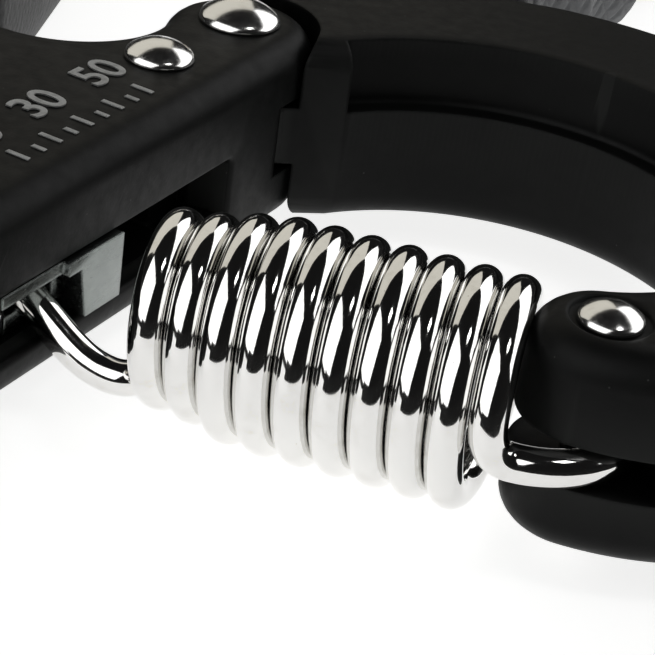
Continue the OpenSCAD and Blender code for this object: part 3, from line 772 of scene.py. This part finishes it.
finish_piece(knob(), "adjuster", "nylon", "adjusting_knob")
cap_prof = [(0.02, 0.16), (0.5, 0.16), (0.7, 0.24), (0.9, 0.16), (1.2, 0.12)]
cap_prof += [(3.7, 0.10), (3.8, 0.24), (4.1, 0.24), (4.2, 0.10)]
cap_prof += [(5.2, 0.11), (5.42, 0.2), (5.5, 0.35), (5.5, 0.88), (0.02, 0.88)]
finish_piece(lathe("knob_disc", cap_prof, rod_at(-30), ROD, 112, 30), "adjuster", "cap_plastic", "knob_cap")


def threaded_rod():
    """The adjusting screw: a plain journal at each end and a thread of 1.6 mm pitch between."""
    n, lead = 36, 1.6
    a = np.arange(n) * 2 * math.pi / n
    rings = []

    def ring(r, z):
        r = np.broadcast_to(r, (n,))
        rings.append(np.stack([r * np.cos(a), r * np.sin(a), np.full(n, z)], 1))

    for r, z in ((1.8, 0.0), (ROD_R, 0.3), (ROD_R, 19.4)):
        ring(r, z)
    for z in np.arange(19.6, 46.6, 0.1):
        wave = np.abs(((z / lead + a / (2 * math.pi)) % 1.0) * 2 - 1)
        fade = min(1.0, (z - 19.6) / 0.8, (46.6 - z) / 0.8)
        ring(ROD_R - 0.42 * max(fade, 0) * np.clip(wave * 1.35 - 0.17, 0, 1), z)
    for r, z in ((ROD_R, 46.9), (1.9, 47.1), (1.3, 47.15), (1.3, 49.7), (1.1, 50.0)):
        ring(r, z)
    v, f = loft(rings)
    return make("rod_threaded", place(v, rod_at(-27.5), *ROD), f, sharp=32)


finish_piece(threaded_rod(), "adjuster", "rod_steel", "adjusting_rod")


def bevelled_copy(node, name, width):
    """The CAD node's shape as a clean mesh with its machined edges broken."""
    src = frame["nodes"][node].data
    bm = bmesh.new()
    bm.from_mesh(src)
    bmesh.ops.remove_doubles(bm, verts=bm.verts, dist=2e-6)
    bmesh.ops.dissolve_limit(bm, angle_limit=math.radians(1.5), verts=bm.verts, edges=bm.edges)
    edges = [e for e in bm.edges if e.is_manifold and e.calc_face_angle(0) > math.radians(40)]
    bmesh.ops.bevel(
        bm, geom=edges, offset=width * MM, segments=2, profile=0.6, affect="EDGES", clamp_overlap=True
    )
    me = bpy.data.meshes.new(name)
    bm.to_mesh(me)
    bm.free()
    obj = bpy.data.objects.new(name, me)
    scene.collection.objects.link(obj)
    return shade(obj, 35)


# the block's dark steel colour is painted shade for the slot it sits in
carriage = bevelled_copy("carriage_nut", "carriage_block", 0.3)
finish_piece(carriage, "carriage", "carriage_steel", "carriage_nut")


# ------------------------------------------------------------------ marks on the arm
def tick(name_list, u, v0, v1, w):
    z = HALF_T + 0.02
    ring = [(u - w / 2, v0), (u + w / 2, v0), (u + w / 2, v1), (u - w / 2, v1)]
    levels = ((0.0, z), (0.0, z + 0.08), (0.06, z + 0.13))
    rings = []
    for inset, zz in levels:
        sgn = [(1, 1), (-1, 1), (-1, -1), (1, -1)]
        rings.append([[*on_arm(a + s[0] * inset, b + s[1] * inset), zz] for (a, b), s in zip(ring, sgn)])
    name_list.append(loft(rings))


def marks():
    """Division lines beside the slot and plain numerals, joined into one piece."""
    parts = []
    for i in range(9):
        tick(parts, 0.1 + 2 * i, 3.4, 4.6 if i % 2 else 5.4, 0.42)
    verts, faces, start = [], [], 0
    for v, f in parts:
        verts.append(v)
        faces += [tuple(start + i for i in q) for q in f]
        start += len(v)
    obj = make("scale_lines", np.concatenate(verts), faces)
    axes = Matrix((
        (UA[0], VA[0], 0, 0), (UA[1], VA[1], 0, 0), (0, 0, 1, 0), (0, 0, 0, 1)
    ))
    for i in range(3):
        cu = bpy.data.curves.new("numeral", "FONT")
        cu.body, cu.size, cu.extrude, cu.offset = str(20 * i + 10), 4.6 * MM, 0.06 * MM, 0.06 * MM
        cu.align_x, cu.align_y, cu.resolution_u = "CENTER", "BOTTOM", 6
        txt = bpy.data.objects.new("numeral", cu)
        scene.collection.objects.link(txt)
        at = Matrix.Translation(Vector(row([*on_arm(0.1 + 8 * i, 6.1), HALF_T + 0.09])))
        graph = bpy.context.evaluated_depsgraph_get()
        me = bpy.data.meshes.new_from_object(txt.evaluated_get(graph))
        bpy.data.objects.remove(txt)
        me.transform(at @ axes)
        bm = bmesh.new()
        bm.from_mesh(obj.data)
        bm.from_mesh(me)
        bm.to_mesh(obj.data)
        bm.free()
        bpy.data.meshes.remove(me)
    return shade(obj, 30)


finish_piece(marks(), "palm_lever", "print_white", "scale_marks")


# ------------------------------------------------------------------ spring
def smooth_step(t):
    return 0.0 if t <= 0 else 1.0 if t >= 1 else t * t * (3 - 2 * t)


def helix(a):
    """Wire centre at turn angle a; the coils at the hook end are wound smaller."""
    r = COIL_R - 0.45 * (1 - smooth_step((a - 480) / 360)) - 1.1 * (1 - smooth_step((a + 400) / 1700))
    q = math.radians(a)
    return np.array([FIRST_X + PITCH * a / 360, -r * math.sin(q), r * math.cos(q)])


def spring_path():
    hook = [*HOOK_C, HOOK_Z]
    ring = [np.array([*(HOOK_C + HOOK_R * e2(a)), HOOK_Z]) for a in np.linspace(277, 77, 60)]
    entry = np.array(hook) + HOOK_R * np.array([UA[0], UA[1], 0])
    mid = np.array([-16.4, -1.85, -5.6])
    mdir = np.array([-1, 0.02, 0.33])
    mdir /= np.linalg.norm(mdir)
    left, right = -182, 360 * (COILS - 1) + 72
    v3 = np.array([VA[0], VA[1], 0])
    path = ring + bez(entry, entry - 2.6 * v3, mid + 3.2 * mdir, mid, 36)[1:]
    path += bez(mid, mid - 1.6 * mdir, helix(left) + [0, -1.9, 0.1], helix(left), 26)[1:]
    path += [helix(a) for a in np.arange(left, right + 0.1, 3.0)][1:]
    out = helix(right + 1) - helix(right)
    la = math.radians(-85)
    turn = np.array([*LOOP_C, LOOP_Z]) + LOOP_R * np.array([math.cos(la), math.sin(la), 0])
    back = np.array([-math.sin(la), math.cos(la), 0])
    path += bez(path[-1], path[-1] + 2.6 * out / np.linalg.norm(out), turn - 1.6 * back, turn, 26)[1:]
    path += [np.array([*(LOOP_C + LOOP_R * e2(a)), LOOP_Z]) for a in np.linspace(-85, 81, 70)][1:]
    p = np.array(path)
    return p[np.concatenate([[True], np.linalg.norm(np.diff(p, axis=0), axis=1) > 0.05])]


spring = tube("tension_spring", spring_path(), WIRE_D / 2, 36, 0.4)
dress(spring, "chrome")
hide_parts("spring_left", "spring_right")
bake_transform(spring)

# ------------------------------------------------------------------ floor, light and camera
AIM = Vector(row([0, 0.64, 1.37]))


def stage_mat(name, colour, rough=0.6, emit=0.0):
    m = Nodes(name)
    soft = m.mix(m.span(m.noise(0.004, 3.0), 0, 1), tuple(c * 0.985 for c in colour), colour)
    m.set(Base_Color=soft, Roughness=rough, Specular_IOR_Level=0.2)
    if emit:
        m.set(Emission_Color=(*colour, 1), Emission_Strength=emit)
    return m.mat


def stage_mesh(name, verts, faces, mat):
    me = bpy.data.meshes.new(name)
    me.from_pydata(verts, [], faces)
    obj = bpy.data.objects.new(name, me)
    scene.collection.objects.link(obj)
    obj.data.materials.append(mat)
    return obj


FLOOR_R, DOME_R, CARD_R = 3.0, 3.2, 0.10
rim_angles = np.linspace(0, 2 * math.pi, 97)[:-1]
rim_points = [(FLOOR_R * math.cos(a), FLOOR_R * math.sin(a), -0.0002) for a in rim_angles]
stage_mesh("floor", rim_points, [tuple(range(96))], stage_mat("floor_paper", (0.9, 0.9, 0.895), emit=0.93))

# a dark room that the camera doesn't see, so that the plating shows black between the panels
BANDS, SIDES = 12, 48
dome_v, dome_f = [], []
for j in range(BANDS + 1):
    el = math.radians(-3 + 93 * j / BANDS)
    flat = DOME_R * math.cos(el)
    for i in range(SIDES):
        az = 2 * math.pi * i / SIDES
        dome_v.append((flat * math.cos(az), flat * math.sin(az), DOME_R * math.sin(el)))
for j in range(BANDS):
    low, high = j * SIDES, (j + 1) * SIDES
    dome_f += [(low + i, low + (i + 1) % SIDES, high + (i + 1) % SIDES, high + i) for i in range(SIDES)]
dome = stage_mesh("dark_room", dome_v, dome_f, stage_mat("room_grey", (0.012, 0.012, 0.012), 0.9))
dome.visible_camera = False


def soft_box(name, at, size, radiance, colour=(1, 1, 1), glossy=True, diffuse=True):
    """A rectangular soft light at a point in metres, facing the spring."""
    light = bpy.data.lights.new(name, "AREA")
    light.shape = "RECTANGLE"
    light.size, light.size_y = size
    light.energy = radiance * math.pi * size[0] * size[1]
    light.color = colour
    obj = bpy.data.objects.new(name, light)
    scene.collection.objects.link(obj)
    obj.location = at
    aim = AIM - Vector(at)
    obj.rotation_euler = aim.to_track_quat("-Z", "Y").to_euler()
    obj.visible_camera = False
    obj.visible_glossy = glossy
    obj.visible_diffuse = diffuse
    return obj


def direction(azimuth, elevation, distance):
    """A point seen from the spring: azimuth from behind the object, clockwise to its right."""
    f, r = np.array([-0.2283, 0.9736, 0]), np.array([0.9736, 0.2283, 0])
    a, e = math.radians(azimuth), math.radians(elevation)
    way = math.cos(e) * (math.cos(a) * f + math.sin(a) * r) + np.array([0, 0, math.sin(e)])
    return tuple(np.array(AIM) + distance * way)


def band(name, start, end, width, radiance, colour=(1, 1, 1), distance=1.0):
    """A soft light panel whose long side runs between two directions given as (azimuth, elevation)."""
    a, b = (Vector(direction(*q, distance)) for q in (start, end))
    long = b - a
    back = ((a + b) / 2 - AIM).normalized()
    side = back.cross(long).normalized()
    obj = soft_box(name, (a + b) / 2, (long.length, width), radiance, colour, diffuse=False)
    obj.rotation_euler = Matrix((long.normalized(), side, back)).transposed().to_euler()
    return obj


soft_box("left_panel", direction(-134, 36, 1.0), (1.35, 1.15), 1.9, diffuse=False)
band("right_panel", (20, 28), (101, 17), 0.60, 1.9)
band("back_panel", (8, 30), (-64, 30), 0.64, 0.74, (1.0, 0.962, 0.86))
soft_box("small_lamp", direction(120, 64, 1.0), (0.20, 0.16), 6.0)
soft_box("overhead_fill", (0.0, 0.0, 1.8), (3.6, 3.6), 0.24, glossy=False)

# a low black card in front that only reflections see, which ends the bright floor in the plating
CARD_LOW, CARD_HIGH = 0.0005, 0.030
card_a = [math.radians(a) for a in range(-118, 41, 6)]
card_x, card_y, _ = Vector(row([4, 0, 0]))
card_xy = [(card_x + CARD_R * math.cos(a), card_y + CARD_R * math.sin(a)) for a in card_a]
card_v = [(x, y, z) for z in (CARD_LOW, CARD_HIGH) for x, y in card_xy]
n_card = len(card_a)
card_f = [(i, i + 1, n_card + i + 1, n_card + i) for i in range(n_card - 1)]
card = stage_mesh("black_card", card_v, card_f, dome.data.materials[0])
card.visible_camera = card.visible_diffuse = card.visible_shadow = False

world = bpy.data.worlds.new("studio")
scene.world = world
world.use_nodes = True
world.node_tree.nodes["Background"].inputs["Color"].default_value = (0.93, 0.93, 0.925, 1)
world.node_tree.nodes["Background"].inputs["Strength"].default_value = 1.0

CAMERA_AT = Vector((0.0490984, -0.1911044, 0.0947905))
cam_data = bpy.data.cameras.new("camera")
cam_data.sensor_width, cam_data.lens = 36.0, 125.3
cam_data.clip_start, cam_data.clip_end = 0.01, 20.0
cam = bpy.data.objects.new("camera", cam_data)
scene.collection.objects.link(cam)
right_v, up_v, fwd_v = (
    Vector((0.94722, 0.29574, 0.12373)),
    Vector((-0.25243, 0.45012, 0.85655)),
    Vector((-0.19757, 0.84258, -0.50102)),
)
turn = Matrix((right_v, up_v, -fwd_v)).transposed().to_4x4()
cam.matrix_world = Matrix.Translation(CAMERA_AT) @ turn
scene.camera = cam
